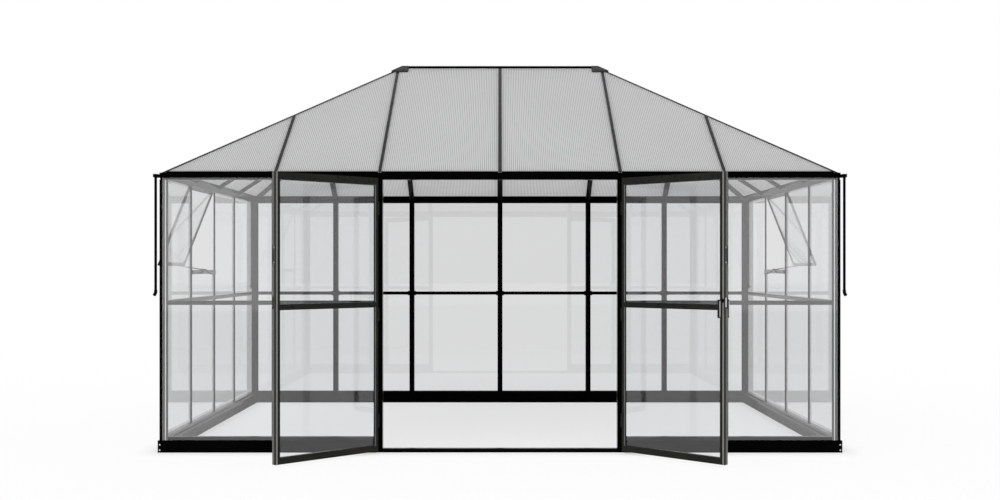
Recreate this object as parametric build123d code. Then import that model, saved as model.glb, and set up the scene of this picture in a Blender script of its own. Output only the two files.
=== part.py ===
from build123d import *
import os
from math import cos, hypot, radians, sin

# Glass greenhouse with a hipped roof of twin-wall sheets and a pair of doors, both open.
# Millimetres. X runs along the front wall, Y to the back, Z up. The origin is on the
# ground in the middle of the doorway, half way through the depth of its threshold.

# ---- overall sizes -------------------------------------------------------------------
length = 4572            # over the corner posts, along X
depth = 2954             # over the corner posts, along Y
eaves_bottom = 1831      # underside of the eaves beam
roof_rise = 963.5        # from the sheets' lower edges to the ridge, over the wall faces
ridge_length = 1560      # between the two points where the hips meet the ridge
doorway_width = 1575     # clear, between the door jambs
bay_pitch = 701          # between two glazing bars

# ---- base ----------------------------------------------------------------------------
plinth_height = 81
plinth_proud = 9         # how far the plinth stands out past the posts
plinth_shelf = 1         # how far its flange runs on past the posts inside
plinth_wall = 3
sill_height = 24
sill_depth = 36
threshold_height = 26
threshold_depth = 50
threshold_nose = 8       # bevel along both its upper edges

# ---- posts, bars and rails -----------------------------------------------------------
post_size = 56           # corner post, square
corner_lip = 18          # bare outer strip of a corner post, beside the glass
corner_bevel = 2         # along its outermost edge
seal_groove = (32, 43)   # groove for a seal behind the glass, from the corner
seal_groove_depth = 1.2
post_width = 45          # jambs, mullions and back posts, across the wall
post_depth = 50          # the same, through the wall
jamb_cover = 13          # how far the glass laps over a jamb
post_wall = 3
post_groove = 6          # bolt groove in the inner face of a post
groove_depth = 1.5
bar_width = 22           # glazing bar of a side wall
bar_flange = 3
bar_web = 6
bar_depth = 11
rail_bottom = 990        # mid rail, all round
rail_height = 29
rail_depth = 30
side_rail_depth = 22
rail_setback = 12        # from the outer wall face, on the front and the back
tube_wall = 2

# ---- glass of the walls --------------------------------------------------------------
glass_thickness = 3
glass_recess = 1         # from the outer wall face to the glass
glass_joint = 4          # between two panes on one post
glass_clearance = 1      # around a pane

# ---- eaves beam with its gutter -------------------------------------------------------
# Heights here are measured up from the underside of the beam.
beam_depth = 50
beam_wall = 3
lip_bottom = 14          # the gutter's outer lip
lip_top = 47
lip_wall = 2.5
trough_floor = 22        # top of the trough's floor
trough_width = 27.5
sheet_seat = 38.5        # top of the roof sheets, carried on to the outer wall face
outlet_width = 32        # how far an outlet stands out past the end wall
outlet_height = 21
outlet_run = (-35, 50)   # along the end wall, from its corner
outlet_end_radius = 13
pipe_out = 14.5          # middle of a downpipe, past the face of the end wall
pipe_past = 35           # and past the corner
pipe_radius = 9
pipe_bore = 7.5
pipe_length = 767        # from the outlet down to the shoe
shoe_radius = 11
shoe_lap = 14            # how far the shoe laps up the pipe
shoe_turn = 14           # each of the two turns of its elbow
shoe_step = 9            # between those turns
shoe_end = 18            # straight end of the shoe

# ---- roof ----------------------------------------------------------------------------
# Heights through the roof are measured plumb, from the top of the sheets.
sheet_thickness = 7.2
sheet_gap = 0.3          # above and below a sheet, in its slot
sheet_side_gap = 0.5     # beside a sheet, in its slot
cap_height = 2           # flange over the sheets
rafter_width = 22
rafter_web = 7
rafter_body = 33.5       # below the sheets
hip_width = 28
hip_web = 8
ridge_width = 24
ridge_web = 8
ridge_body = 46
ridge_spine_width = 16
ridge_spine_height = 14
eave_overhang = 22       # from the outer wall face to the lower end of the sheets
hip_toe = 12             # from the outer wall faces to the lower end of a hip bar
hub_back = 15            # the block where the hips meet: along the ridge
hub_front = 35           # and the other three ways
end_cap_ridge = 52       # cover over that block: along the ridge
end_cap_reach = 78       # and the other three ways
end_cap_height = 16
end_cap_wall = 3

# ---- roof vents in the end walls --------------------------------------------------------
vent_angle = 21.5        # how far each window stands open
vent_height = 629
vent_thickness = 10
vent_stile = 20
vent_rail = 24
vent_lip = 4.5           # rim round the outside of a window: its width
vent_lip_height = 6
vent_pin_radius = 5
vent_side_gap = 4
vent_groove = 6
vent_lap = 3             # how far a closed window would lap over the cross rail under it
vent_rail_height = 24
vent_rail_depth = 19
vent_pane_step = 7       # from the top of the cross rail down to the pane under it
vent_slot_gap = 0.3      # on each side of the pane, in its slot
vent_edge_gap = 0.3      # around the pane, in its slot
stay_width = 14
stay_thickness = 6
stay_foot = 15           # from the window's lower edge up to the stay
stay_outside = 27        # how far the stay lies level outside the cross rail
stay_inside = 4          # and inside it
stay_tail = ((46, 25), (73, 31))     # bends of its tail: past the rail, and down
stay_radii = (30, 12, 14)

# ---- doors -----------------------------------------------------------------------------
door_open_angle = 136.5  # how far both doors stand open
leaf_thickness = 28
leaf_gap = 6             # from the outer wall face to a closed door
leaf_bottom = 15
leaf_head_gap = 6        # from the gutter's lip down to the top of a door
meeting_gap = 8          # between the two closed doors
leaf_stile = 34
leaf_top_rail = 46
leaf_bottom_rail = 39
leaf_mid_rail = 30
leaf_mid_bottom = 979
leaf_groove = 7          # depth of the groove that holds the pane
leaf_pane_lap = 6        # how far the pane reaches into it
leaf_groove_width = 3.6
leaf_wall = 2
leaf_edge_groove = 5     # groove down the free edge: its width
leaf_edge_groove_depth = 1.5
leaf_edge_groove_in = 2.5    # from the inner corner of that edge
pivot_from_jamb = 6      # from the middle of the jamb outwards to the hinge pin
pivot_from_leaf = 12     # from the closed leaf's edge to the hinge pin
pivot_from_face = 24     # from the outer wall face to the hinge pin
hinge_end = 200          # from either end of the leaf to the middle of its outer hinges
knuckle_radius = 7
knuckle_length = 32
knuckle_gap = 1
door_knuckle_length = 26
pin_radius = 3
pin_clearance = 0.08
hinge_plate = 3
bracket_outer = 16       # bracket plate, from the pin outwards
bracket_inner = 8        # and towards the doorway
bracket_height = 90
bracket_arm = 8
plate_width = 16         # plates let on to the free edges
plate_proud = 1.5
bolt_plate = (1265, 1375)
lock_plate = (985, 1060)
lever_height = 1036
lever_neck_radius = 7
lever_reach = 38         # from the leaf's face to the middle of the grip
lever_length = 108
lever_width = 15
lever_thickness = 9
spindle_radius = 4
rose_radius = 14
rose_thickness = 4
lever_gap = 0.4

# ---- worked out from the above ---------------------------------------------------------
front_face = -threshold_depth / 2
back_face = front_face + depth
mid_depth = front_face + depth / 2
rebate = glass_recess + glass_thickness
gutter_lip_bottom = eaves_bottom + lip_bottom
gutter_lip_top = eaves_bottom + lip_top
gutter_floor = eaves_bottom + trough_floor
roof_edge_height = eaves_bottom + sheet_seat
roof_apex_height = roof_edge_height + roof_rise
ridge_half = ridge_length / 2
hip_run = length / 2 - ridge_half
slope_across = roof_rise / (depth / 2)
slope_along = roof_rise / hip_run
hip_plan = hypot(hip_run, depth / 2)
jamb_inner = doorway_width / 2
jamb_outer = jamb_inner + post_width
jamb_middle = jamb_inner + post_width / 2
mullion = jamb_middle + bay_pitch
sill_top = plinth_height + sill_height
slot_top = sheet_gap
slot_bottom = -sheet_thickness - sheet_gap
cap_top = slot_top + cap_height
rafter_bottom = slot_bottom - rafter_body
ridge_bottom = slot_bottom - ridge_body
trough_end = lip_wall + trough_width
pivot_x = jamb_middle + pivot_from_jamb
pivot_y = front_face - pivot_from_face
leaf_inner = front_face - leaf_gap
leaf_outer = leaf_inner - leaf_thickness
leaf_middle = (leaf_inner + leaf_outer) / 2
leaf_hinge_edge = pivot_x - pivot_from_leaf
leaf_free_edge = meeting_gap / 2
leaf_top = gutter_lip_bottom - leaf_head_gap
hinge_heights = (leaf_bottom + hinge_end, (leaf_bottom + leaf_top) / 2, leaf_top - hinge_end)
vent_half = bay_pitch / 2 - vent_side_gap
vent_pin_inwards = rebate - vent_pin_radius
vent_pin_height = gutter_lip_bottom - vent_pin_radius
vent_rail_top = vent_pin_height - vent_height + vent_lap
vent_rail_bottom = vent_rail_top - vent_rail_height
roof_below = eaves_bottom - 100      # cutting shapes reach from here
roof_above = roof_apex_height + 100  # up to here

back_members = (-mullion, -jamb_middle, 0, jamb_middle, mullion)
side_members = (-bay_pitch, 0, bay_pitch)

# Each wall is drawn as seen from outside it: x along it from its middle, y inwards.
WALLS = {
    "front": (Location((0, front_face, 0)), length),
    "back": (Location((0, back_face, 0), (0, 0, 180)), length),
    "left": (Location((-length / 2, mid_depth, 0), (0, 0, -90)), depth),
    "right": (Location((length / 2, mid_depth, 0), (0, 0, 90)), depth),
}
SLOPES = {"front": slope_across, "back": slope_across, "left": slope_along, "right": slope_along}


# ---- helpers ---------------------------------------------------------------------------
def block(x, y, z):
    """A box between two values on each axis."""
    size = (x[1] - x[0], y[1] - y[0], z[1] - z[0])
    return Pos(x[0], y[0], z[0]) * Box(*size, align=(Align.MIN, Align.MIN, Align.MIN))


def upright(outline, bottom, top):
    """A plan outline raised between two heights."""
    return extrude(Pos(0, 0, bottom) * Polygon(*outline, align=None), top - bottom, dir=(0, 0, 1))


def along_wall(section, start, end):
    """A section of (inwards, height) drawn out along a wall."""
    face = Plane.YZ * Polygon(*section, align=None)
    return extrude(Pos(start, 0, 0) * face, end - start, dir=(1, 0, 0))


def rectangle(a, b):
    return [(a[0], b[0]), (a[1], b[0]), (a[1], b[1]), (a[0], b[1])]


def rod(radius, start, end):
    """A round bar between two points."""
    axis = Vector(*end) - Vector(*start)
    return extrude(Plane(start, z_dir=axis) * Circle(radius), axis.length)


def tube_along_wall(inwards, heights, start, end):
    """A rectangular tube along a wall."""
    outer = block((start, end), inwards, heights)
    hole = block((start, end), (inwards[0] + tube_wall, inwards[1] - tube_wall),
                 (heights[0] + tube_wall, heights[1] - tube_wall))
    return outer - hole


def mitred(shape, wall, outer, inner):
    """Cuts both ends of a run at the corners of the building."""
    half = WALLS[wall][1] / 2
    outline = [(outer - half, outer), (half - outer, outer), (half - inner, inner), (inner - half, inner)]
    return shape & upright(outline, -1, roof_apex_height)


def inside_walls(inset):
    """The whole space of the roof, from a distance inside all four outer wall faces."""
    return block((inset - length / 2, length / 2 - inset), (front_face + inset, back_face - inset),
                 (roof_below, roof_above))


def on_wall(wall, shapes):
    return [WALLS[wall][0] * shape for shape in shapes]


def both_sides(shape):
    return [shape, mirror(shape, about=Plane.YZ)]


def save(name, shapes):
    solids = [solid for shape in shapes for solid in shape.solids()]
    whole = solids[0] if len(solids) == 1 else Compound(children=solids)
    export_step(whole, f"parts/{name}.step")


# ---- base ------------------------------------------------------------------------------
def plinth():
    inner = post_size + plinth_shelf
    outer = -plinth_proud
    web = outer + plinth_wall
    low, high = plinth_wall, plinth_height - plinth_wall
    section = [(outer, 0), (inner, 0), (inner, low), (web, low), (web, high),
               (inner, high), (inner, plinth_height), (outer, plinth_height)]
    runs = []
    for wall, (place, run) in WALLS.items():
        profile = along_wall(section, -run / 2 - plinth_proud, run / 2 + plinth_proud)
        piece = mitred(profile, wall, outer, inner)
        if wall == "front":
            piece -= block((-jamb_outer, jamb_outer), (outer, inner), (0, plinth_height))
        runs.append(place * piece)
    return runs


def door_threshold():
    """A low hollow sill with a sloped nose, between the jambs."""
    nose = threshold_nose
    shoulder = threshold_height - nose
    section = [(0, 0), (threshold_depth, 0), (threshold_depth, shoulder),
               (threshold_depth - nose, threshold_height), (nose, threshold_height), (0, shoulder)]
    hole = rectangle((post_wall, threshold_depth - post_wall), (post_wall, shoulder - post_wall))
    profile = along_wall(section, -jamb_inner, jamb_inner) - along_wall(hole, -jamb_inner, jamb_inner)
    return on_wall("front", [profile])


def sill_rails():
    inwards = (rebate, rebate + sill_depth)
    heights = (plinth_height, sill_top)
    rails = []
    for wall, (place, run) in WALLS.items():
        end = run / 2 - post_size
        spans = [(-end, -jamb_outer), (jamb_outer, end)] if wall == "front" else [(-end, end)]
        rails += on_wall(wall, [tube_along_wall(inwards, heights, a, b) for a, b in spans])
    return rails


# ---- posts, bars and rails ---------------------------------------------------------------
def corner_posts():
    near, far = seal_groove
    bed = rebate + seal_groove_depth
    front = [(0, 0), (corner_lip, 0), (corner_lip, rebate), (near, rebate), (near, bed), (far, bed),
             (far, rebate), (post_size, rebate)]
    side = [(b, a) for a, b in reversed(front[1:])]
    outline = front + [(post_size, post_size)] + side
    hole = rectangle((rebate + post_wall, post_size - post_wall), (rebate + post_wall, post_size - post_wall))
    post = upright(outline, plinth_height, eaves_bottom) - upright(hole, plinth_height, eaves_bottom)
    edge = post.edges().filter_by(Axis.Z).sort_by_distance((0, 0, eaves_bottom))[0]
    post = chamfer(edge, corner_bevel)
    corners = [(-1, front_face, 0), (1, front_face, 90), (1, back_face, 180), (-1, back_face, -90)]
    return [Location((side * length / 2, y, 0), (0, 0, turn)) * post for side, y, turn in corners]


def post_outline(middle, outer_steps):
    """Plan of a post: its stepped outer face, then its plain sides and its grooved inner face."""
    left, right = middle - post_width / 2, middle + post_width / 2
    groove = post_groove / 2
    inner = [(right, post_depth), (middle + groove, post_depth), (middle + groove, post_depth - groove_depth),
             (middle - groove, post_depth - groove_depth), (middle - groove, post_depth), (left, post_depth)]
    return outer_steps + inner


def post_hole(middle):
    half = post_width / 2 - post_wall
    back = post_depth - groove_depth - post_wall
    return rectangle((middle - half, middle + half), (rebate + post_wall, back))


def door_jambs():
    outline = post_outline(jamb_middle, [(jamb_inner, 0), (jamb_outer - jamb_cover, 0),
                                         (jamb_outer - jamb_cover, rebate), (jamb_outer, rebate)])
    jamb = upright(outline, 0, eaves_bottom) - upright(post_hole(jamb_middle), 0, eaves_bottom)
    return [side for shape in on_wall("front", [jamb]) for side in both_sides(shape)]


def wall_post(middle):
    half = post_width / 2
    outline = post_outline(middle, [(middle - half, rebate), (middle + half, rebate)])
    return upright(outline, sill_top, eaves_bottom) - upright(post_hole(middle), sill_top, eaves_bottom)


def front_mullions():
    return on_wall("front", [wall_post(side * mullion) for side in (-1, 1)])


def back_posts():
    return on_wall("back", [wall_post(middle) for middle in back_members])


def side_glazing_bars():
    """T bars: the flange carries the glass and the web stiffens it."""
    flange = rebate + bar_flange
    half, web = bar_width / 2, bar_web / 2
    outline = [(-half, rebate), (half, rebate), (half, flange), (web, flange), (web, rebate + bar_depth),
               (-web, rebate + bar_depth), (-web, flange), (-half, flange)]
    bar = upright(outline, sill_top, eaves_bottom)
    return [shape for wall in ("left", "right")
            for shape in on_wall(wall, [Pos(x, 0, 0) * bar for x in side_members])]


def mid_rails():
    heights = (rail_bottom, rail_bottom + rail_height)
    inwards = (rail_setback, rail_setback + rail_depth)
    half = post_width / 2
    corner = length / 2 - post_size
    front = [(mullion + half, corner), (jamb_outer, mullion - half)]
    back = front + [(half, jamb_middle - half)]
    rails = []
    for wall, spans in (("front", front), ("back", back)):
        mirrored = spans + [(-b, -a) for a, b in spans]
        rails += on_wall(wall, [tube_along_wall(inwards, heights, a, b) for a, b in mirrored])
    behind = rebate + bar_depth
    end = depth / 2 - post_size
    for wall in ("left", "right"):
        rails += on_wall(wall, [tube_along_wall((behind, behind + side_rail_depth), heights, -end, end)])
    return rails


# ---- eaves, gutters and downpipes ----------------------------------------------------------
def eaves_beam(wall, slot_layer):
    """One extrusion: a box, the gutter trough over it, and a sloped seat for the roof sheets."""
    place, run = WALLS[wall]

    def seat(inwards):
        return roof_edge_height + SLOPES[wall] * inwards + slot_bottom

    inner = beam_depth - beam_wall
    box_top = gutter_floor - beam_wall
    section = [(rebate, eaves_bottom), (beam_depth, eaves_bottom), (beam_depth, seat(beam_depth)),
               (trough_end, seat(trough_end)), (trough_end, gutter_floor), (lip_wall, gutter_floor),
               (lip_wall, gutter_lip_top), (0, gutter_lip_top), (0, gutter_lip_bottom),
               (rebate, gutter_lip_bottom)]
    back = trough_end + beam_wall
    under_seat = -beam_wall * hypot(1, SLOPES[wall])
    hole = [(rebate + beam_wall, eaves_bottom + beam_wall), (inner, eaves_bottom + beam_wall),
            (inner, seat(inner) + under_seat), (back, seat(back) + under_seat),
            (back, box_top), (rebate + beam_wall, box_top)]
    beam = along_wall(section, -run / 2, run / 2) - along_wall(hole, -run / 2, run / 2)
    return [place * mitred(beam, wall, 0, beam_depth) - (slot_layer & inside_walls(trough_end))]


def gutter_outlets():
    """An arm at each end of both end walls, which leads the water past the corner to a downpipe."""
    arm = block(outlet_run, (-outlet_width, 0), (gutter_lip_bottom, gutter_lip_bottom + outlet_height))
    arm = fillet(arm.edges().filter_by(Axis.Z).group_by(Axis.X)[-1], outlet_end_radius)
    return at_corners(arm)


def at_corners(shape):
    """The same piece at both ends of both end walls."""
    one = Pos(depth / 2, 0, 0) * shape
    return [piece for wall in ("left", "right") for piece in on_wall(wall, both_sides(one))]


def downpipes():
    """Straight pipe, with a wider shoe that laps over its end and turns the water outwards."""
    foot = gutter_lip_bottom - pipe_length
    ends = (pipe_past, -pipe_out, foot), (pipe_past, -pipe_out, gutter_lip_bottom)
    pipe = rod(pipe_radius, *ends) - rod(pipe_bore, *ends)
    points = [Vector(pipe_past, -pipe_out, foot + shoe_lap), Vector(pipe_past, -pipe_out, foot)]
    for turns, step in ((1, shoe_step), (2, shoe_end)):
        turn = radians(turns * shoe_turn)
        points.append(points[-1] + Vector(0, -sin(turn), -cos(turn)) * step)
    top = Plane(points[0], z_dir=(0, 0, -1))
    ring = top * (Circle(shoe_radius) - Circle(pipe_bore))
    shoe = sweep(ring, Polyline(*points), transition=Transition.RIGHT)
    return at_corners(pipe + shoe)


# ---- glass of the walls ----------------------------------------------------------------------
def pane(start, end, bottom, top):
    return block((start, end), (glass_recess, rebate), (bottom, top))


def glass_of(wall):
    """One pane to a bay, lapped on the outside of the frame, with a joint on each post."""
    low, high = plinth_height + glass_clearance, gutter_lip_bottom - glass_clearance
    end = WALLS[wall][1] / 2 - corner_lip - glass_clearance
    joint = glass_joint / 2
    vent_pane_top = vent_rail_top - vent_pane_step
    if wall == "front":
        edge = jamb_outer - jamb_cover + glass_clearance
        spans = [(edge, mullion - joint), (mullion + joint, end)]
        spans += [(-b, -a) for a, b in spans]
    else:
        stops = [-end - joint, *(back_members if wall == "back" else side_members), end + joint]
        spans = [(a + joint, b - joint) for a, b in zip(stops, stops[1:])]
    panes = []
    for a, b in spans:
        vented = wall in ("left", "right") and 0 < (a + b) / 2 < bay_pitch
        panes.append(pane(a, b, low, vent_pane_top if vented else high))
    return on_wall(wall, panes)


# ---- windows in the end walls, hung from the eaves ----------------------------------------------
def swung(shape):
    """Takes a window drawn hanging straight down from its pin to the angle at which it stands."""
    turned = shape.rotate(Axis((0, 0, 0), (1, 0, 0)), -vent_angle)
    return Pos(bay_pitch / 2, vent_pin_inwards, vent_pin_height) * turned


def on_both_ends(shape):
    return [piece for wall in ("left", "right") for piece in on_wall(wall, [shape])]


def hang(shape):
    return on_both_ends(swung(shape))


def vent_slot():
    """The slot all round the window that its pane sits in."""
    half, reach = vent_thickness / 2, vent_groove
    inner = (vent_half - vent_stile, -vent_height + vent_rail, -vent_rail)
    slot = glass_thickness / 2 + vent_slot_gap
    return block((-inner[0] - reach, inner[0] + reach), (-slot, slot), (inner[1] - reach, inner[2] + reach))


def vent_stiles():
    half, rim = vent_thickness / 2, vent_thickness / 2 + vent_lip_height
    heights = (-vent_height, -vent_pin_radius)
    stile = block((vent_half - vent_stile, vent_half), (-half, half), heights) - vent_slot()
    stile += block((vent_half - vent_lip, vent_half), (-rim, -half), heights)
    return hang(stile) + hang(mirror(stile, about=Plane.YZ))


def vent_rails():
    half = vent_thickness / 2
    span = (vent_stile - vent_half, vent_half - vent_stile)
    low = block(span, (-half, half), (-vent_height, -vent_height + vent_rail))
    low += block(span, (-half - vent_lip_height, -half), (-vent_height, -vent_height + vent_lip))
    high = block(span, (-half, half), (-vent_rail, 0))
    high += rod(vent_pin_radius, (span[0], 0, 0), (span[1], 0, 0))
    return hang(low - vent_slot()) + hang(high - vent_slot())


def vent_glass():
    reach = vent_groove - vent_edge_gap
    side = vent_half - vent_stile + reach
    half = glass_thickness / 2
    return hang(block((-side, side), (-half, half), (-vent_height + vent_rail - reach, -vent_rail + reach)))


def vent_cross_rails():
    half = (bay_pitch - bar_width) / 2
    rail = tube_along_wall((rebate, rebate + vent_rail_depth),
                           (vent_rail_bottom, vent_rail_top), -half, half)
    return on_both_ends(Pos(bay_pitch / 2, 0, 0) * rail)


def vent_stays():
    """Flat bar from the window's lower rail, over the cross rail, with a bent tail inside."""
    turn = radians(vent_angle)
    reach = vent_height - stay_foot
    hook = (vent_pin_inwards - reach * sin(turn), vent_pin_height - reach * cos(turn))
    rest = vent_rail_top + stay_thickness / 2
    inner = rebate + vent_rail_depth
    path = [hook, (rebate - stay_outside, rest), (inner + stay_inside, rest)]
    path += [(inner + along, rest - down) for along, down in stay_tail]
    line = FilletPolyline(*[(0, a, b) for a, b in path], radius=list(stay_radii))
    start = Plane(line @ 0, x_dir=(1, 0, 0), z_dir=line % 0)
    stay = Pos(bay_pitch / 2, 0, 0) * sweep(start * Rectangle(stay_width, stay_thickness), line)
    stay -= swung(block((-stay_width, stay_width), (-vent_thickness, vent_thickness / 2), (-vent_height, 0)))
    return on_both_ends(stay)


# ---- roof ------------------------------------------------------------------------------------------
def roof_solid(lift, margin=0):
    """Everything under the roof surface, lifted by some height and widened all round."""
    base = roof_below - 100
    beyond = 100
    edge = roof_edge_height + lift
    across = [(front_face - margin, edge - margin * slope_across), (mid_depth, roof_apex_height + lift),
              (back_face + margin, edge - margin * slope_across), (back_face + margin, base - margin),
              (front_face - margin, base - margin)]
    half, run = length / 2 + margin, ridge_half - beyond
    top = roof_apex_height + lift + beyond * slope_along
    low = edge - margin * slope_along
    lengthwise = [(-half, low), (-run, top), (run, top), (half, low), (half, base - margin),
                  (-half, base - margin)]
    one = along_wall(across, -half, half)
    other = extrude(Plane.XZ * Polygon(*lengthwise, align=None), 2 * depth, both=True)
    return one & other


def roof_layer(low, high):
    return roof_solid(high) - roof_solid(low, margin=20)


def slope_outline(wall, eave, hip, ridge):
    """Plan of one roof slope, drawn in from its eave, its hips and the ridge."""
    if wall in ("front", "back"):
        def side(y):
            return ridge_half + hip_run * (1 - y / (depth / 2)) - hip * hip_plan / (depth / 2)

        far = depth / 2 - ridge
        points = [(-side(eave), eave), (side(eave), eave), (side(far), far), (-side(far), far)]
    else:
        def side(y):
            return depth / 2 * (1 - y / hip_run) - hip * hip_plan / hip_run

        far = hip_run - hip * hip_plan / (depth / 2)
        points = [(-side(eave), eave), (side(eave), eave), (0, far)]
    return points


def slope_prism(wall, eave, hip, ridge):
    return WALLS[wall][0] * upright(slope_outline(wall, eave, hip, ridge), roof_below, roof_above)


def hub(gap=0):
    """Plan of the two blocks on which the hips meet the ridge."""
    outline = rectangle((ridge_half - hub_back - gap, ridge_half + hub_front + gap),
                        (mid_depth - hub_front - gap, mid_depth + hub_front + gap))
    block_shape = upright(outline, roof_below, roof_above)
    return Compound(children=both_sides(block_shape))


def strip(width, start, end, inwards=(0, depth)):
    """A band up a slope, between two distances from the wall."""
    return block((start - width / 2, end + width / 2), inwards, (roof_below, roof_above))


ROOF_MEMBERS = {"front": back_members, "back": back_members, "left": side_members, "right": side_members}


def rafters(bar_layer, slot_layer, foot_layer):
    """Bars with a slot down each side for the sheets, notched over the eaves beam."""
    bars = []
    for wall, middles in ROOF_MEMBERS.items():
        place = WALLS[wall][0]
        region = slope_prism(wall, eave_overhang, hip_width / 2, ridge_width / 2) - hub()
        shape = bar_layer & region
        notch = place * block((-length, length), (0, beam_depth), (0, roof_apex_height)) & foot_layer
        shape = shape - notch
        for middle in middles:
            bar = shape & (place * strip(rafter_width, middle, middle))
            flank = (rafter_width + rafter_web) / 4
            for side in (-1, 1):
                cut = strip((rafter_width - rafter_web) / 2, middle + side * flank, middle + side * flank)
                bar -= (place * cut) & slot_layer
            bars.append(bar)
    return bars


def hip_band(width):
    """Plan bands along all four hips."""
    nx, ny = depth / 2 / hip_plan * width / 2, hip_run / hip_plan * width / 2
    foot, head = (length / 2, front_face), (ridge_half, mid_depth)
    outline = [(foot[0] - nx, foot[1] - ny), (foot[0] + nx, foot[1] + ny),
               (head[0] + nx, head[1] + ny), (head[0] - nx, head[1] - ny)]
    band = upright(outline, roof_below, roof_above)
    bands = both_sides(band)
    return bands + [mirror(one, about=Plane.XZ.offset(-mid_depth)) for one in bands]


def hip_bars(bar_layer, slot_layer, foot_layer):
    layer = (bar_layer & inside_walls(hip_toe)) - hub()
    layer -= foot_layer - inside_walls(beam_depth)
    bars = []
    for wide, narrow in zip(hip_band(hip_width), hip_band(hip_web)):
        bars.append((layer & wide) - ((slot_layer & wide) - narrow))
    return bars


def ridge_beam(low_layer, slot_layer):
    """Bar under the ridge with slots for the sheets, the two hub blocks, and a raised spine."""
    def band(width, reach):
        return block((-reach, reach), (mid_depth - width / 2, mid_depth + width / 2),
                     (roof_below, roof_above))

    reach = ridge_half - hub_back
    bar = low_layer & band(ridge_width, reach)
    bar -= slot_layer & (band(ridge_width, reach) - band(ridge_web, reach))
    spine = roof_layer(cap_top, ridge_spine_height) & band(ridge_spine_width, ridge_half - end_cap_ridge - 1)
    return [bar + spine + (low_layer & hub())]


def ridge_end_caps():
    """Pressed covers over the hub blocks, with a turned-down edge all round."""
    def plan(inset):
        outline = rectangle((ridge_half - end_cap_ridge + inset, ridge_half + end_cap_reach - inset),
                            (mid_depth - end_cap_reach + inset, mid_depth + end_cap_reach - inset))
        return upright(outline, roof_below, roof_above)

    bottom = cap_top + sheet_gap
    cap = roof_layer(bottom, end_cap_height) & plan(0)
    cap -= roof_layer(bottom - 1, end_cap_height - end_cap_wall) & plan(end_cap_wall)
    return both_sides(cap)


def roof_sheets(wall, sheet_layer):
    """One twin-wall sheet to a bay, its edges in the slots of the bars around it."""
    place, run = WALLS[wall]
    region = slope_prism(wall, eave_overhang, hip_web / 2 + sheet_side_gap, ridge_web / 2 + sheet_side_gap)
    whole = (sheet_layer & region) - hub(sheet_side_gap)
    inset = rafter_web / 2 + sheet_side_gap
    stops = [-run / 2 - inset, *ROOF_MEMBERS[wall], run / 2 + inset]
    return [whole & (place * strip(0, a + inset, b - inset)) for a, b in zip(stops, stops[1:])]


# ---- doors ---------------------------------------------------------------------------------------------
def opened(shape):
    """Takes a piece of the right-hand door from closed to the angle at which it stands open."""
    return shape.rotate(Axis((pivot_x, pivot_y, 0), (0, 0, 1)), door_open_angle)


def for_door(side, shapes):
    turned = [opened(shape) for shape in shapes]
    return turned if side == "right" else [mirror(shape, about=Plane.YZ) for shape in turned]


def door_groove():
    """Slots that hold both panes, cut into the stiles and rails around them."""
    slot = (leaf_middle - leaf_groove_width / 2, leaf_middle + leaf_groove_width / 2)
    sides = (leaf_free_edge + leaf_stile - leaf_groove, leaf_hinge_edge - leaf_stile + leaf_groove)
    cuts = [block(sides, slot, (low - leaf_groove, high + leaf_groove)) for low, high in pane_heights()]
    return Compound(children=cuts)


def pane_heights():
    return [(leaf_bottom + leaf_bottom_rail, leaf_mid_bottom),
            (leaf_mid_bottom + leaf_mid_rail, leaf_top - leaf_top_rail)]


def door_stiles(side):
    """Hollow upright members with closed ends; the free edge has a shallow groove down it."""
    stiles = []
    for start, wall_side in ((leaf_free_edge, 0), (leaf_hinge_edge - leaf_stile, 1)):
        stile = block((start, start + leaf_stile), (leaf_outer, leaf_inner), (leaf_bottom, leaf_top))
        if wall_side == 0:
            hollow = (start + leaf_edge_groove_depth + leaf_wall,
                      start + leaf_stile - leaf_groove - leaf_wall)
        else:
            hollow = (start + leaf_groove + leaf_wall, start + leaf_stile - leaf_wall)
        stile -= block(hollow, (leaf_outer + leaf_wall, leaf_inner - leaf_wall),
                       (leaf_bottom + leaf_wall, leaf_top - leaf_wall))
        stiles.append(stile - door_groove())
    groove = leaf_inner - leaf_edge_groove_in
    stiles[0] -= block((leaf_free_edge, leaf_free_edge + leaf_edge_groove_depth),
                       (groove - leaf_edge_groove, groove), (leaf_bottom, leaf_top))
    if side == "right":
        centre = leaf_free_edge + leaf_stile / 2
        stiles[0] -= rod(spindle_radius + pin_clearance, (centre, leaf_outer - 1, lever_height),
                         (centre, leaf_inner + 1, lever_height))
    return for_door(side, stiles)


def door_rails(side):
    span = (leaf_free_edge + leaf_stile, leaf_hinge_edge - leaf_stile)
    heights = [(leaf_bottom, leaf_bottom + leaf_bottom_rail),
               (leaf_mid_bottom, leaf_mid_bottom + leaf_mid_rail), (leaf_top - leaf_top_rail, leaf_top)]
    rails = [block(span, (leaf_outer, leaf_inner), pair) - door_groove() for pair in heights]
    return for_door(side, rails)


def door_glass(side):
    half = glass_thickness / 2
    through = (leaf_middle - half, leaf_middle + half)
    lap = leaf_stile - leaf_pane_lap
    span = (leaf_free_edge + lap, leaf_hinge_edge - lap)
    return for_door(side, [block(span, through, (low - leaf_pane_lap, high + leaf_pane_lap))
                           for low, high in pane_heights()])


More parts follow.
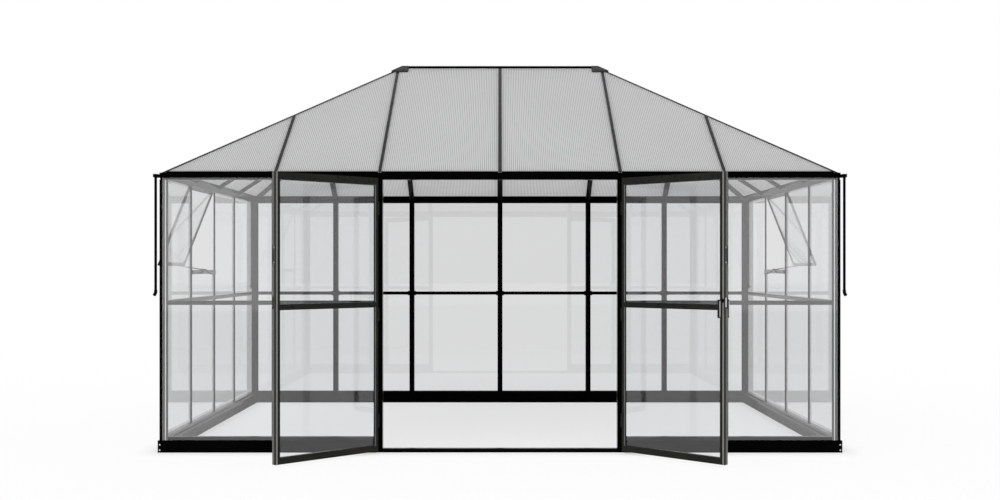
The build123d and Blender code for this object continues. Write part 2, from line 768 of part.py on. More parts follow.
def door_hinge_brackets():
    """On each jamb, a plate, an arm and the middle knuckle of every hinge."""
    brackets = []
    for height in hinge_heights:
        half = knuckle_length / 2
        low, high = height - half, height + half
        plate = block((pivot_x - bracket_inner, pivot_x + bracket_outer),
                      (front_face - hinge_plate, front_face),
                      (height - bracket_height / 2, height + bracket_height / 2))
        arm = block((pivot_x - bracket_arm / 2, pivot_x + bracket_arm / 2), (pivot_y, front_face),
                    (low, high))
        knuckle = rod(knuckle_radius, (pivot_x, pivot_y, low), (pivot_x, pivot_y, high))
        pin_hole = rod(pin_radius + pin_clearance, (pivot_x, pivot_y, low), (pivot_x, pivot_y, high))
        brackets += both_sides(plate + arm + knuckle - pin_hole)
    return brackets


def door_hinges(side):
    """On the door, the outer two knuckles of every hinge, the pin through them, and a plate."""
    hinges = []
    for height in hinge_heights:
        inner = knuckle_length / 2 + knuckle_gap
        outer = inner + door_knuckle_length
        plate = block((leaf_hinge_edge, leaf_hinge_edge + hinge_plate),
                      (leaf_outer + leaf_wall, leaf_inner - leaf_wall), (height - outer, height + outer))
        pin = rod(pin_radius, (pivot_x, pivot_y, height - outer), (pivot_x, pivot_y, height + outer))
        hinge = plate + pin
        for low, high in ((height - outer, height - inner), (height + inner, height + outer)):
            hinge += rod(knuckle_radius, (pivot_x, pivot_y, low), (pivot_x, pivot_y, high))
            hinge += block((leaf_hinge_edge, pivot_x), (pivot_y - bracket_arm / 2, pivot_y + bracket_arm / 2),
                           (low, high))
        hinges.append(hinge)
    return for_door(side, hinges)


def door_edge_plates(side):
    """Plates let on to the free edge: a bolt plate on both doors, the lock's on the right one."""
    heights = [bolt_plate, lock_plate] if side == "right" else [bolt_plate]
    proud = (leaf_free_edge - plate_proud, leaf_free_edge)
    across = (leaf_middle - plate_width / 2, leaf_middle + plate_width / 2)
    return for_door(side, [block(proud, across, pair) for pair in heights])


def lever_roses():
    centre = leaf_free_edge + leaf_stile / 2
    roses = []
    for face, way in ((leaf_inner, 1), (leaf_outer, -1)):
        start, end = (centre, face, lever_height), (centre, face + way * rose_thickness, lever_height)
        roses.append(rod(rose_radius, start, end) - rod(lever_neck_radius + lever_gap, start, end))
    return for_door("right", roses)


def door_lever():
    """A lever on each face of the right-hand door, on one spindle."""
    centre = leaf_free_edge + leaf_stile / 2
    levers = rod(spindle_radius, (centre, leaf_outer - lever_reach, lever_height),
                 (centre, leaf_inner + lever_reach, lever_height))
    half, thick = lever_width / 2, lever_thickness / 2
    for face, way in ((leaf_inner, 1), (leaf_outer, -1)):
        middle = face + way * lever_reach
        levers += rod(lever_neck_radius, (centre, face + way * lever_gap, lever_height),
                      (centre, middle, lever_height))
        grip = block((centre - half, centre + half), (middle - thick, middle + thick),
                     (lever_height - lever_length + half, lever_height))
        for end in (lever_height, lever_height - lever_length + half):
            grip += rod(half, (centre, middle - thick, end), (centre, middle + thick, end))
        levers += grip
    return for_door("right", [levers])


# ---- the pieces -------------------------------------------------------------------------------------------
os.makedirs("parts", exist_ok=True)
low_layer = roof_layer(rafter_bottom, cap_top)
slot_layer = roof_layer(slot_bottom, slot_top)
foot_layer = roof_layer(rafter_bottom - 1, slot_bottom)
sheet_layer = roof_layer(-sheet_thickness, 0)

save("plinth", plinth())
save("door_threshold", door_threshold())
save("sill_rails", sill_rails())
save("corner_posts", corner_posts())
save("door_jambs", door_jambs())
save("front_mullions", front_mullions())
save("back_posts", back_posts())
save("side_glazing_bars", side_glazing_bars())
save("mid_rails", mid_rails())
for wall in WALLS:
    save(f"{wall}_eaves_beam", eaves_beam(wall, slot_layer))
    save(f"{wall}_glass", glass_of(wall))
    save(f"{wall}_roof_sheets", roof_sheets(wall, sheet_layer))
save("gutter_outlets", gutter_outlets())
save("downpipes", downpipes())
save("vent_stiles", vent_stiles())
save("vent_rails", vent_rails())
save("vent_glass", vent_glass())
save("vent_cross_rails", vent_cross_rails())
save("vent_stays", vent_stays())
save("rafters", rafters(low_layer, slot_layer, foot_layer))
save("hip_bars", hip_bars(low_layer, slot_layer, foot_layer))
save("ridge_beam", ridge_beam(roof_layer(ridge_bottom, cap_top), slot_layer))
save("ridge_end_caps", ridge_end_caps())
save("door_hinge_brackets", door_hinge_brackets())
for side in ("left", "right"):
    save(f"{side}_door_stiles", door_stiles(side))
    save(f"{side}_door_rails", door_rails(side))
    save(f"{side}_door_glass", door_glass(side))
    save(f"{side}_door_hinges", door_hinges(side))
    save(f"{side}_door_edge_plates", door_edge_plates(side))
save("lever_roses", lever_roses())
save("door_lever", door_lever())
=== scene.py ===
import math

import bmesh
import bpy
from mathutils import Matrix, Vector


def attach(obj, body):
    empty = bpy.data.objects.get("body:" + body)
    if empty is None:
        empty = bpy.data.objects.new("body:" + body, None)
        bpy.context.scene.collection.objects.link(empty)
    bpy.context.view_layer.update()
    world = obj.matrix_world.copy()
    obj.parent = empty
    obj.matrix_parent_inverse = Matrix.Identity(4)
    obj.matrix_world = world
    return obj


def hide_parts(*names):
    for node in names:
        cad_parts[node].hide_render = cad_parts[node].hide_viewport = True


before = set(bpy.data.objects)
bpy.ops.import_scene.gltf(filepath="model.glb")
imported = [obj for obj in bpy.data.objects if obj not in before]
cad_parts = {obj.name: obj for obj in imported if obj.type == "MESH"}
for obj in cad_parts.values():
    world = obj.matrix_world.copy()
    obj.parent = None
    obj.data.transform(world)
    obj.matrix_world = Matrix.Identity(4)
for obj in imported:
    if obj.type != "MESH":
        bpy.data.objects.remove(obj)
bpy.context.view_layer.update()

# A black aluminium greenhouse, 4.6 m wide, with glass walls, a hipped roof of twin-wall
# sheets, two open doors and two open vents. Metres; the ground is z = 0, the doorway's
# centre is x = 0, and the front wall looks along -Y.

# The house
LENGTH = 4.572              # over the corner posts
DEPTH = 2.954
FRONT = -0.025              # outer face of the front wall
MIDDLE = FRONT + DEPTH / 2
PLINTH_TOP = 0.081
SILL_TOP = 0.105
MID_RAIL = (0.99, 1.019)
EAVES = 1.831
BAY = 0.701
JAMB = 0.81
MULLION = 1.511
POST_HALF = 0.0225
BEAM = 0.05
LONG_BARS = (-MULLION, -JAMB, 0.0, JAMB, MULLION)
SHORT_BARS = (-BAY, 0.0, BAY)

# The roof
ROOF_EDGE = 1.8695          # top of the sheets, carried on to the outer wall faces
ROOF_RISE = 0.9635
RIDGE_HALF = 0.78
HIP_RUN = LENGTH / 2 - RIDGE_HALF
SLOPES = {
    "front": ROOF_RISE / (DEPTH / 2),
    "back": ROOF_RISE / (DEPTH / 2),
    "left": ROOF_RISE / HIP_RUN,
    "right": ROOF_RISE / HIP_RUN,
}
SHEET = 0.0072
RIB_PITCH = 0.0132
ROOF_NODES = {
    "front_roof_sheets": 0,
    "back_roof_sheets": 0,
    "left_roof_sheets": 1,
    "right_roof_sheets": 1,
}

# The surroundings. White is 1.
SEEN_THROUGH_GLASS = 0.7
MIRRORED_BESIDE = 0.78
MIRRORED_IN_FRONT = 1.0
CAMERA_PLACE = (0.0, -7.877, 1.246)


# ---------------------------------------------------------------- materials

class Nodes:
    """The node tree of a material or a world, with short ways to add nodes and join them."""

    def __init__(self, owner):
        self.owner = owner
        owner.use_nodes = True
        self.tree = owner.node_tree
        self.tree.nodes.clear()

    def add(self, kind, inputs=None, **settings):
        node = self.tree.nodes.new(kind)
        for key, value in settings.items():
            setattr(node, key, value)
        for key, value in (inputs or {}).items():
            if isinstance(value, bpy.types.NodeSocket):
                self.tree.links.new(value, node.inputs[key])
            else:
                node.inputs[key].default_value = value
        return node

    def math(self, operation, first, second=0.0, third=0.0, clamp=False):
        node = self.add("ShaderNodeMath", {0: first, 1: second, 2: third}, operation=operation)
        node.use_clamp = clamp
        return node.outputs[0]

    def place(self):
        """The point's own place in the frame, in metres."""
        return self.add("ShaderNodeTexCoord").outputs["Object"]

    def split(self, vector):
        return self.add("ShaderNodeSeparateXYZ", {0: vector}).outputs

    def scaled(self, vector, scale):
        return self.add("ShaderNodeMapping", {"Vector": vector, "Scale": scale}).outputs[0]

    def noise(self, vector, scale, detail=2.0, rough=0.5):
        values = {"Vector": vector, "Scale": scale, "Detail": detail, "Roughness": rough}
        return self.add("ShaderNodeTexNoise", values).outputs["Fac"]

    def spread(self, value, low, high, to_low=0.0, to_high=1.0):
        values = {"Value": value, "From Min": low, "From Max": high, "To Min": to_low, "To Max": to_high}
        return self.add("ShaderNodeMapRange", values).outputs[0]

    def blend(self, factor, first, second):
        """A mix of two colours, each a socket or three numbers."""
        node = self.add("ShaderNodeMix", data_type="RGBA")
        for key, value in ((0, factor), (6, first), (7, second)):
            if isinstance(value, bpy.types.NodeSocket):
                self.tree.links.new(value, node.inputs[key])
            elif key:
                node.inputs[key].default_value = (*value, 1.0)
            else:
                node.inputs[key].default_value = value
        return node.outputs[2]

    def bump(self, height, strength, distance):
        values = {"Height": height, "Strength": strength, "Distance": distance}
        return self.add("ShaderNodeBump", values).outputs[0]

    def principled(self, values):
        return self.add("ShaderNodeBsdfPrincipled", values).outputs[0]

    def mix(self, factor, first, second):
        """A mix of two shaders."""
        return self.add("ShaderNodeMixShader", {0: factor, 1: first, 2: second}).outputs[0]

    def seen(self, path):
        """1 for the rays of the camera and those that metal and glass pass on, else 0."""
        direct = self.math("MAXIMUM", path["Is Camera Ray"], path["Is Transmission Ray"])
        return self.math("MAXIMUM", direct, path["Is Glossy Ray"])

    def finish(self, shader, output="ShaderNodeOutputMaterial"):
        self.add(output, {"Surface": shader})
        return self.owner


def material(name):
    return Nodes(bpy.data.materials.new(name))


def powder_coat(name, dark, light, dust, dusty, rough, edge, gloss=0.5):
    """Powder-coated metal: fine orange peel, faint cloudiness, and dust low down and on ledges.

    It mirrors the surroundings at a grazing angle. edge is the share of a plain gloss that is
    left head-on.
    """
    s = material(name)
    place = s.place()
    cloud = s.noise(place, scale=5.0, detail=4.0, rough=0.6)
    peel = s.noise(place, scale=650.0)
    grain = s.noise(place, scale=2600.0, detail=1.0)
    colour = s.blend(s.spread(cloud, 0.35, 0.7), dark, light)
    low = s.spread(s.split(place)["Z"], 0.22, 0.0)
    up = s.split(s.add("ShaderNodeNewGeometry").outputs["Normal"])["Z"]
    ledge = s.spread(up, 0.6, 1.0, 0.0, 0.5)
    patches = s.spread(s.noise(place, scale=38.0, detail=5.0, rough=0.65), 0.42, 0.72)
    amount = s.math("MULTIPLY", s.math("ADD", low, ledge, clamp=True), patches)
    colour = s.blend(s.math("MULTIPLY", amount, dusty), colour, dust)
    rub = s.spread(s.noise(place, scale=21.0, detail=3.0), 0.3, 0.75, *rough)
    rub = s.math("ADD", rub, s.math("MULTIPLY", amount, 0.1), clamp=True)
    skin = s.math("ADD", s.math("MULTIPLY", peel, 0.7), s.math("MULTIPLY", grain, 0.3))
    return s.finish(s.principled({
        "Base Color": colour,
        "Roughness": rub,
        "Specular IOR Level": gloss,
        "Specular Tint": (edge, edge, edge, 1.0),
        "Normal": s.bump(skin, strength=0.1, distance=0.0002),
    }))


def moulded_plastic(name, dark, light, rough):
    """Moulded plastic with a fine spark-eroded grain and slight weathering."""
    s = material(name)
    place = s.place()
    grain = s.add("ShaderNodeTexVoronoi", {"Vector": place, "Scale": 1400.0}).outputs["Distance"]
    cloud = s.noise(place, scale=14.0, detail=4.0)
    colour = s.blend(s.spread(cloud, 0.3, 0.75), dark, light)
    return s.finish(s.principled({
        "Base Color": colour,
        "Roughness": s.spread(s.noise(place, scale=60.0, detail=3.0), 0.3, 0.7, *rough),
        "Specular IOR Level": 0.35,
        "Normal": s.bump(grain, strength=0.25, distance=0.0002),
    }))


def metal(name, dark, light, rough, stretch, scale, depth):
    """Bare metal with a directional polish: stretch draws the marks out along one direction."""
    s = material(name)
    place = s.place()
    marks = s.noise(s.scaled(place, stretch), scale, detail=3.0, rough=0.6)
    cloud = s.noise(place, scale=30.0, detail=3.0)
    return s.finish(s.principled({
        "Base Color": s.blend(s.spread(cloud, 0.3, 0.7), dark, light),
        "Metallic": 1.0,
        "Roughness": s.spread(marks, 0.3, 0.7, *rough),
        "Normal": s.bump(marks, strength=0.2, distance=depth),
    }))


def rubber(name, dark, light):
    """Matt, speckled rubber, also for brushes, and for the pale painted highlight on the door leaves."""
    s = material(name)
    speckle = s.noise(s.place(), scale=900.0, detail=3.0)
    return s.finish(s.principled({
        "Base Color": s.blend(speckle, dark, light),
        "Roughness": s.spread(speckle, 0.2, 0.8, 0.7, 0.9),
        "Specular IOR Level": 0.3,
        "Normal": s.bump(speckle, strength=0.3, distance=0.0002),
    }))


def pane_glass(name, tint, head_on, head_on_middle=None):
    """Thin clear glass: a tinted see-through layer under a mirror that grows towards grazing.

    Lamp light and light from other surfaces passes almost whole. head_on is the share that is
    mirrored head-on, and head_on_middle the same in the two bays beside the doorway. Both are set
    apart from wall to wall for one and the same glass: a painted reflection.
    """
    s = material(name)
    place = s.place()
    film = s.noise(place, scale=3.0, detail=4.0, rough=0.6)
    facing = s.add("ShaderNodeLayerWeight", {"Blend": 0.5}).outputs["Facing"]
    rise = s.math("POWER", facing, 5.0)
    if head_on_middle is not None:
        across = s.math("ABSOLUTE", s.split(place)["X"])
        head_on = s.spread(across, MULLION - 0.001, MULLION + 0.001, head_on_middle, head_on)
    mirror = s.math("MULTIPLY_ADD", rise, s.math("SUBTRACT", 1.0, head_on), head_on)
    mirror = s.math("MULTIPLY", mirror, s.spread(film, 0.3, 0.7, 0.97, 1.03), clamp=True)
    gloss = s.principled({
        "Base Color": (1.0, 1.0, 1.0, 1.0),
        "Metallic": 1.0,
        "Roughness": 0.012,
        "Normal": s.bump(s.noise(place, scale=1.6, detail=1.0), strength=0.05, distance=0.002),
    })
    through = s.add("ShaderNodeBsdfTransparent", {"Color": (*tint, 1.0)}).outputs[0]
    passed = s.add("ShaderNodeBsdfTransparent", {"Color": (0.97, 0.97, 0.97, 1.0)}).outputs[0]
    path = s.add("ShaderNodeLightPath").outputs
    lighting = s.math("MAXIMUM", path["Is Shadow Ray"], path["Is Diffuse Ray"])
    return s.finish(s.mix(lighting, s.mix(mirror, through, gloss), passed))


def opal_sheet(name, axis):
    """Opal twin-wall plastic, darker at each rib: partly the thicker skin there, which passes less light,
    and partly painted shade. axis is the coordinate that counts the ribs.
    """
    s = material(name)
    place = s.place()
    beat = s.math("PINGPONG", s.math("DIVIDE", s.split(place)[axis], RIB_PITCH), 0.5)
    # Painted shade along each rib, on top of the thicker skin's real loss of light.
    rib = s.spread(beat, 0.02, 0.25, 1.0, 0.0)
    haze = s.spread(s.noise(place, scale=2.2, detail=3.0), 0.3, 0.7, 0.985, 1.0)
    light = s.math("SUBTRACT", haze, s.math("MULTIPLY", rib, 0.47))
    grey = s.add("ShaderNodeCombineColor", {0: light, 1: light, 2: light}).outputs[0]
    held = s.add("ShaderNodeVectorMath", {0: grey, 1: (0.98, 0.98, 0.98)}, operation="MULTIPLY")
    passed = s.add("ShaderNodeBsdfTranslucent", {"Color": grey}).outputs[0]
    surface = s.principled({
        "Base Color": held.outputs[0],
        "Roughness": s.spread(s.noise(place, scale=400.0), 0.3, 0.7, 0.22, 0.34),
        "Specular IOR Level": 0.3,
        "Normal": s.bump(rib, strength=0.15, distance=0.0006),
    })
    return s.finish(s.mix(0.37, passed, surface))


BLACK = powder_coat(
    "powder_black", dark=(0.0006, 0.0006, 0.0007), light=(0.0011, 0.0011, 0.0012),
    dust=(0.09, 0.085, 0.075), dusty=0.005, rough=(0.14, 0.2), edge=0.02)
PIPE_BLACK = powder_coat(
    "pipe_black", dark=(0.0009, 0.0009, 0.001), light=(0.0016, 0.0016, 0.0017),
    dust=(0.09, 0.085, 0.075), dusty=0.012, rough=(0.4, 0.5), edge=0.5, gloss=0.06)
# The door leaves' black is a lighter, warmer copy of the frame's black that mirrors more: painted light on
# the turned leaves.
LIT_DOOR_BLACK = powder_coat(
    "powder_black_doors", dark=(0.008, 0.0077, 0.0064), light=(0.0135, 0.013, 0.0108),
    dust=(0.09, 0.085, 0.07), dusty=0.03, rough=(0.25, 0.35), edge=0.25)
# A pale grey for painted highlights on the door leaves' black stiles.
HIGHLIGHT_GREY = powder_coat(
    "highlight_grey", dark=(0.1, 0.1, 0.098), light=(0.14, 0.14, 0.137),
    dust=(0.2, 0.19, 0.17), dusty=0.2, rough=(0.3, 0.4), edge=1.0)
STAY = powder_coat(
    "stay_grey", dark=(0.05, 0.05, 0.05), light=(0.08, 0.08, 0.08),
    dust=(0.12, 0.115, 0.1), dusty=0.1, rough=(0.3, 0.4), edge=1.0)
PLASTIC = moulded_plastic("trim_black", (0.008, 0.008, 0.009), (0.02, 0.02, 0.021), rough=(0.4, 0.6))
# Copies of one clear glass whose see-through tints and mirror shares are set apart per wall: painted light
# and painted reflection. The front wall's glass mirrors twice as much head-on, and less beside the
# doorway.
GLASS = pane_glass("clear_glass", (0.966, 0.969, 0.971), head_on=0.05)
FRONT_GLASS = pane_glass("clear_glass_front", (0.99, 0.993, 0.995), head_on=0.108, head_on_middle=0.03)
DOOR_GLASS = pane_glass("clear_glass_doors", (0.985, 0.988, 0.99), head_on=0.05)
CHROME = metal(
    "dark_chrome", dark=(0.012, 0.012, 0.013), light=(0.03, 0.03, 0.031),
    rough=(0.1, 0.2), stretch=(1, 1, 0.05), scale=900, depth=0.00008)
STEEL = metal(
    "zinc_steel", dark=(0.05, 0.05, 0.05), light=(0.09, 0.09, 0.088),
    rough=(0.3, 0.5), stretch=(1, 1, 0.08), scale=1200, depth=0.0001)
BRIGHT = metal(
    "bright_steel", dark=(0.6, 0.6, 0.6), light=(0.72, 0.72, 0.72),
    rough=(0.2, 0.3), stretch=(1, 1, 0.3), scale=900, depth=0.00005)
RUBBER = rubber("seal_rubber", (0.012, 0.012, 0.012), (0.03, 0.03, 0.03))
BRUSH = rubber("brush_seal", (0.025, 0.02, 0.015), (0.055, 0.047, 0.04))
SEAL = rubber("pale_seal", (0.66, 0.66, 0.66), (0.76, 0.76, 0.76))
# A pale grey for the painted highlight down each free stile's corner.
EDGE_HIGHLIGHT = rubber("edge_highlight", (0.33, 0.33, 0.33), (0.42, 0.42, 0.42))
RIBS_ACROSS = opal_sheet("opal_ribs_across", "X")
RIBS_ALONG = opal_sheet("opal_ribs_along", "Y")

FINISHES = {
    "frame_black": BLACK,
    "wall_glass": GLASS,
    "roof_sheet": RIBS_ACROSS,
    "trim_plastic": PLASTIC,
    "edge_steel": STEEL,
    "lever_chrome": CHROME,
}
PIPES = ("downpipes", "gutter_outlets")
DOOR_NODES = ("door_stiles", "door_rails", "door_hinges", "hinge_brackets")


def dress(node_name):
    """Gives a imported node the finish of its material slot, or one of its own."""
    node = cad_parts[node_name]
    slot = node.data.materials[0].name.split(".")[0]
    finish = FINISHES[slot]
    # The door leaves take the lighter copy of the black, a painted light.
    if finish is BLACK and node_name.endswith(DOOR_NODES):
        finish = LIT_DOOR_BLACK
    if node_name == "front_glass":
        finish = FRONT_GLASS
    if node_name in PIPES:
        finish = PIPE_BLACK
    for index in range(len(node.data.materials)):
        node.data.materials[index] = finish


for node_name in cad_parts:
    dress(node_name)


def linked(name, mesh):
    """A new object in the scene with this mesh."""
    made = bpy.data.objects.new(name, mesh)
    bpy.context.scene.collection.objects.link(made)
    return made


# ---------------------------------------------------------------- roof sheets

def loose_parts(mesh):
    """The edges of each separate closed slab of a node, as pairs of points."""
    shape = bmesh.new()
    shape.from_mesh(mesh)
    bmesh.ops.remove_doubles(shape, verts=shape.verts, dist=0.0001)
    left = set(shape.verts)
    parts = []
    while left:
        start = left.pop()
        group = {start}
        heap = [start]
        while heap:
            for edge in heap.pop().link_edges:
                for vertex in edge.verts:
                    if vertex not in group:
                        group.add(vertex)
                        heap.append(vertex)
        left -= group
        edges = {edge for vertex in group for edge in vertex.link_edges}
        parts.append([(edge.verts[0].co.copy(), edge.verts[1].co.copy()) for edge in edges])
    shape.free()
    return parts


def section(edges, axis, value):
    """The outline in which the plane axis = value cuts a slab."""
    points = []
    for first, second in edges:
        a, b = first[axis] - value, second[axis] - value
        if a * b < 0.0:
            points.append(first.lerp(second, a / (a - b)))
    unique = []
    for point in points:
        if all((point - other).length > 0.0002 for other in unique):
            unique.append(point)
    if len(unique) < 3:
        return []
    centre = sum(unique, Vector()) / len(unique)
    side = 1 - axis
    return sorted(unique, key=lambda p: math.atan2(p.z - centre.z, p[side] - centre[side]))


def ribbed_panels(name, node_name, axis, finish):
    """The node's slabs as hollow sheets: the slab's own skin, with a web at every rib."""
    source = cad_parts[node_name].data
    shape = bmesh.new()
    shape.from_mesh(source)
    bmesh.ops.remove_doubles(shape, verts=shape.verts, dist=0.0001)
    for face in shape.faces:
        face.smooth = False
    for edges in loose_parts(source):
        values = [point[axis] for edge in edges for point in edge]
        first = math.ceil(min(values) / RIB_PITCH)
        last = math.floor(max(values) / RIB_PITCH)
        for count in range(first, last + 1):
            outline = section(edges, axis, count * RIB_PITCH)
            if outline:
                shape.faces.new([shape.verts.new(point) for point in outline])
    mesh = bpy.data.meshes.new(name)
    shape.to_mesh(mesh)
    shape.free()
    mesh.materials.append(finish)
    panel = linked(name, mesh)
    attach(panel, "frame")
    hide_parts(node_name)


for node_name, axis in ROOF_NODES.items():
    ribs = RIBS_ALONG if axis else RIBS_ACROSS
    ribbed_panels(node_name.replace("sheets", "panels"), node_name, axis, ribs)


# ---------------------------------------------------------------- shapes

def wall_frame(x, y, turn):
    return Matrix.Translation((x, y, 0.0)) @ Matrix.Rotation(math.radians(turn), 4, "Z")


# Each wall as seen from outside it: x along it from its middle, y inwards.
WALLS = {
    "front": wall_frame(0.0, FRONT, 0.0),
    "back": wall_frame(0.0, FRONT + DEPTH, 180.0),
    "left": wall_frame(-LENGTH / 2, MIDDLE, -90.0),
    "right": wall_frame(LENGTH / 2, MIDDLE, 90.0),
}
END_WALLS = (WALLS["left"], WALLS["right"])
MIRROR = Matrix.Scale(-1.0, 4, (1.0, 0.0, 0.0))


class Shape:
    """Closed solids, each given by the outlines of its two ends."""

    def __init__(self):
        self.solids = []

    def add(self, first, second):
        self.solids.append((list(first), list(second)))
        return self

    def box(self, x, y, z):
        ends = [[(x[0], y[0], level), (x[1], y[0], level), (x[1], y[1], level), (x[0], y[1], level)]
                for level in z]
        return self.add(*ends)

    def upright(self, outline, z):
        """A plan outline between two heights."""
        return self.add([(a, b, z[0]) for a, b in outline], [(a, b, z[1]) for a, b in outline])

    def run(self, outline, x):
        """A section of (inwards, height) drawn out along a wall."""
        return self.add([(x[0], a, b) for a, b in outline], [(x[1], a, b) for a, b in outline])

    def disc(self, centre, axis, radius, height, sides=12):
        """A round bar from centre along axis."""
        along = Vector(axis).normalized()
        side = along.orthogonal().normalized()
        other = along.cross(side)
        ring = []
        for count in range(sides):
            turn = 2.0 * math.pi * count / sides
            ring.append(Vector(centre) + side * radius * math.cos(turn) + other * radius * math.sin(turn))
        return self.add(ring, [point + along * height for point in ring])

    def placed(self, *places):
        """Copies of all the solids, one for each matrix."""
        copies = Shape()
        for place in places:
            for first, second in self.solids:
                copies.add([place @ Vector(p) for p in first], [place @ Vector(p) for p in second])
        return copies

    def join(self, other):
        self.solids += other.solids
        return self

    def piece(self, name, body, slot, finish, instead=()):
        """Makes the solids one object that rides on a body, in place of the nodes in instead."""
        mesh = bmesh.new()
        for first, second in self.solids:
            low = [mesh.verts.new(point) for point in first]
            high = [mesh.verts.new(point) for point in second]
            mesh.faces.new(low)
            mesh.faces.new(list(reversed(high)))
            for index in range(len(low)):
                after = (index + 1) % len(low)
                mesh.faces.new((low[index], high[index], high[after], low[after]))
        bmesh.ops.recalc_face_normals(mesh, faces=mesh.faces)
        data = bpy.data.meshes.new(name)
        mesh.to_mesh(data)
        mesh.free()
        data.materials.append(finish)
        made = linked(name, data)
        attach(made, body)
        if instead:
            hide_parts(*instead)


def rounded(points, radii):
    """A bent line with an arc of each radius at its inner corners."""
    line = [Vector(points[0])]
    for before, bend, after, radius in zip(points, points[1:], points[2:], radii):
        bend = Vector(bend)
        back = (Vector(before) - bend).normalized()
        ahead = (Vector(after) - bend).normalized()
        half = back.angle(ahead) / 2.0
        reach = radius / math.tan(half)
        centre = bend + (back + ahead).normalized() * radius / math.sin(half)
        first, last = bend + back * reach, bend + ahead * reach
        for step in range(7):
            arm = (first - centre).lerp(last - centre, step / 6.0).normalized() * radius
            line.append(centre + arm)
    line.append(Vector(points[-1]))
    return line


def flat_bar(line, thickness):
    """The outline of a flat bar that follows a line in a plane."""
    sides = ([], [])
    for index, point in enumerate(line):
        before = line[max(index - 1, 0)]
        after = line[min(index + 1, len(line) - 1)]
        along = (after - before).normalized()
        normal = Vector((-along.y, along.x)) * thickness / 2.0
        sides[0].append(point + normal)
        sides[1].append(point - normal)
    return sides[0] + list(reversed(sides[1]))


# ---------------------------------------------------------------- roof pieces

HIP_PLAN = math.hypot(HIP_RUN, DEPTH / 2)
STRIP_START = 0.0205        # from the outer wall face
STRIP_RISE = 0.006          # over the sheets
STRIP_WALL = 0.0012
STRIP_FROM_BAR = 0.0112
STRIP_FROM_HIP = 0.0142
FIT = 0.0002                # sunk into, or clear of, the face beside it
RAFTER_BODY = (-SHEET - 0.0345, -SHEET - 0.0008)
RAFTER_FROM_BEAM = 0.0005
RAFTER_FROM_RIDGE = 0.014
RAFTER_FROM_HIP = 0.02


def on_slope(wall, inwards, above=0.0):
    """A point (inwards, height) over the top face of a wall's roof sheets."""
    return (inwards, ROOF_EDGE + SLOPES[wall] * inwards + above)


def hip_end(wall, inwards, beside):
    """Where a run at a distance inside a wall ends, at a distance beside the hip."""
    if wall in ("front", "back"):
        return LENGTH / 2 - HIP_RUN * inwards / (DEPTH / 2) - beside * HIP_PLAN / (DEPTH / 2)
    return DEPTH / 2 - DEPTH / 2 * inwards / HIP_RUN - beside * HIP_PLAN / HIP_RUN


def end_strips(wall):
    """Folded strips that close the lower ends of a slope's sheets, bay by bay."""
    bars = LONG_BARS if wall in ("front", "back") else SHORT_BARS
    inner = STRIP_START + STRIP_WALL
    under = -SHEET - STRIP_WALL
    foot = STRIP_START + STRIP_RISE / SLOPES[wall]
    crest = on_slope(wall, STRIP_START, STRIP_RISE)[1]
    outline = [
        on_slope(wall, STRIP_START, under), (STRIP_START, crest), (foot, crest),
        on_slope(wall, foot, FIT), on_slope(wall, inner, FIT), on_slope(wall, inner, under),
    ]
    hip = [hip_end(wall, inwards, STRIP_FROM_HIP) for inwards, _ in outline]
    starts = [[-x for x in hip]] + [[bar + STRIP_FROM_BAR] * len(outline) for bar in bars]
    stops = [[bar - STRIP_FROM_BAR] * len(outline) for bar in bars] + [hip]
    strips = Shape()
    for start, stop in zip(starts, stops):
        strips.add([(x, *point) for x, point in zip(start, outline)],
                   [(x, *point) for x, point in zip(stop, outline)])
    return strips.placed(WALLS[wall])


def rafter_bodies(wall):
    """The broad bodies of a long slope's rafters, under the sheets."""
    low, high = RAFTER_BODY
    start = BEAM + RAFTER_FROM_BEAM
    bodies = Shape()
    for middle in LONG_BARS:
        ends = []
        for x in (middle - POST_HALF, middle + POST_HALF):
            reach = DEPTH / 2 - RAFTER_FROM_RIDGE
            if abs(x) > RIDGE_HALF:
                reach = (LENGTH / 2 - abs(x)) * (DEPTH / 2) / HIP_RUN - RAFTER_FROM_HIP
            ends.append([(x, *on_slope(wall, inwards, above))
                         for inwards, above in ((start, low), (start, high), (reach, high), (reach, low))])
        bodies.add(*ends)
    return bodies.placed(WALLS[wall])


strips = Shape()
for wall in WALLS:
    strips.join(end_strips(wall))
strips.piece("sheet_end_strips", "frame", "frame_black", BLACK)

bodies = Shape()
for wall in ("front", "back"):
    bodies.join(rafter_bodies(wall))
bodies.piece("rafter_bodies", "frame", "frame_black", BLACK)


# ---------------------------------------------------------------- corners

# One arm of a corner post in plan: a lip, and behind the glass a thicker arm with a seal's seat.
ARM = [(0.002, 0.0), (0.018, 0.0), (0.018, 0.0044), (0.032, 0.0044), (0.032, 0.0054), (0.043, 0.0054),
       (0.043, 0.0044), (0.056, 0.0044), (0.056, 0.012), (0.012, 0.012)]
SEAL_ACROSS = (0.0365, 0.0435)
SEAL_THROUGH = (0.0042, 0.0052)

POST_SPAN = (PLINTH_TOP, EAVES)
SILL_SPAN = (PLINTH_TOP, SILL_TOP)
angle = Shape().upright(ARM + [(b, a) for a, b in reversed(ARM[:-1])], POST_SPAN)
seals = Shape().box(SEAL_ACROSS, SEAL_THROUGH, POST_SPAN).box(SEAL_THROUGH, SEAL_ACROSS, POST_SPAN)
rail_ends = Shape().box((0.012, 0.0565), (0.012, 0.042), MID_RAIL)
rail_ends.box((0.015, 0.037), (0.0415, 0.0565), MID_RAIL)
rail_ends.box((0.0125, 0.0565), (0.0125, 0.04), SILL_SPAN)
rail_ends.box((0.0125, 0.04), (0.04, 0.0565), SILL_SPAN)

